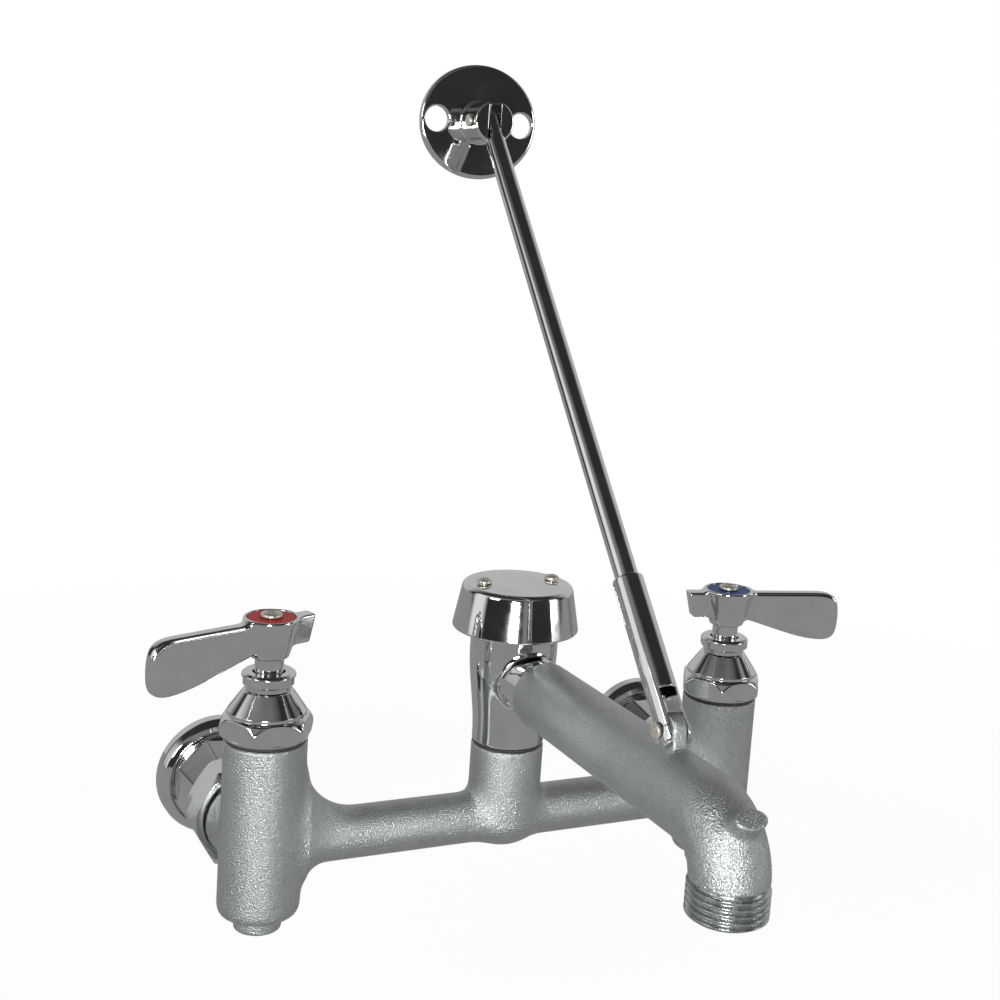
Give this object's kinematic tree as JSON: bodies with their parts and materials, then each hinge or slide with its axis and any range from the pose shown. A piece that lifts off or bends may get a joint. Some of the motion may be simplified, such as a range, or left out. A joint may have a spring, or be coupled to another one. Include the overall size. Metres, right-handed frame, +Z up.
{
  "type": "commercial wall faucet",
  "caption": "Wall-mounted service-sink faucet with lever valves on a cast crossbar, vacuum breaker, hose-thread spout with pail hook, and wall brace.",
  "frame": {"origin": "on the wall plane, midway between the two inlets and at their height", "axes": "+Z up, +Y into the wall, +X to the right seen from the front, so the spout points along -Y"},
  "size_m": [0.3032, 0.2555, 0.3411],
  "materials": {
    "rough_chrome": "coarse sand-cast surface under chrome plate",
    "polished_chrome": "mirror chrome plate",
    "steel": "bright steel",
    "brass": "machined",
    "rubber": "moulded",
    "fibre": "pressed fibre",
    "index_red": "gloss",
    "index_blue": "gloss"
  },
  "bodies": {
    "faucet": {"faucet_body": "rough_chrome", "spout": "rough_chrome", "hot_bonnet_gasket": "fibre", "hot_bonnet": "polished_chrome", "hot_packing_ring": "rubber", "hot_packing_nut": "polished_chrome", "hot_valve_seat": "brass", "hot_coupling_washer": "fibre", "hot_coupling_nut": "polished_chrome", "hot_inlet_flange": "polished_chrome", "cold_bonnet_gasket": "fibre", "cold_bonnet": "polished_chrome", "cold_packing_ring": "rubber", "cold_packing_nut": "polished_chrome", "cold_valve_seat": "brass", "cold_coupling_washer": "fibre", "cold_coupling_nut": "polished_chrome", "cold_inlet_flange": "polished_chrome", "breaker_seal": "fibre", "breaker_body": "polished_chrome", "vent_cap": "brass", "canopy": "polished_chrome", "canopy_screw_left": "steel", "canopy_screw_right": "steel"},
    "hot_washer": {"hot_seat_washer": "rubber", "hot_washer_holder": "brass", "hot_washer_screw": "brass"},
    "hot_spindle": {"hot_stem": "polished_chrome", "hot_handle": "polished_chrome", "hot_index_disc": "index_red", "hot_handle_screw": "steel"},
    "cold_washer": {"cold_seat_washer": "rubber", "cold_washer_holder": "brass", "cold_washer_screw": "brass"},
    "cold_spindle": {"cold_stem": "polished_chrome", "cold_handle": "polished_chrome", "cold_index_disc": "index_blue", "cold_handle_screw": "steel"},
    "breaker_float": {"float_seal": "rubber", "float_disc": "brass"},
    "brace_fork": {"brace_sleeve": "polished_chrome", "brace_lower_pin": "steel"},
    "brace_bar": {"brace_rod": "polished_chrome"},
    "brace_plate": {"wall_flange": "polished_chrome", "brace_upper_pin": "steel"}
  },
  "joints": [
    {"name": "hot_lift", "type": "slide", "parent": "faucet", "child": "hot_washer", "axis": [0, 0, 1], "range_m": [0, 0.0024]},
    {"name": "hot_turn", "type": "hinge", "parent": "hot_washer", "child": "hot_spindle", "pos_m": [-0.1016, -0.074, 0.09], "axis": [0, 0, 1], "range_deg": [0, 90]},
    {"name": "cold_lift", "type": "slide", "parent": "faucet", "child": "cold_washer", "axis": [0, 0, 1], "range_m": [0, 0.0024]},
    {"name": "cold_turn", "type": "hinge", "parent": "cold_washer", "child": "cold_spindle", "pos_m": [0.1016, -0.074, 0.09], "axis": [0, 0, -1], "range_deg": [0, 90]},
    {"name": "float_lift", "type": "slide", "parent": "faucet", "child": "breaker_float", "axis": [0, 0, 1], "range_m": [0, 0.0027]},
    {"name": "brace_pivot", "type": "hinge", "parent": "faucet", "child": "brace_fork", "pos_m": [0, -0.2013, 0.08223], "axis": [1, 0, 0], "range_deg": [0, 100]},
    {"name": "rod_adjust", "type": "slide", "parent": "brace_fork", "child": "brace_bar", "axis": [0, 0.6822, 0.7312], "range_m": [-0.01, 0.014]},
    {"name": "plate_pivot", "type": "hinge", "parent": "brace_bar", "child": "brace_plate", "pos_m": [0, -0.014, 0.283], "axis": [1, 0, 0], "range_deg": [-40, 130]}
  ],
  "couplings": [
    {"joint": "hot_lift", "follows": "hot_turn", "m_per_rad": 0.0015},
    {"joint": "cold_lift", "follows": "cold_turn", "m_per_rad": 0.0015}
  ]
}
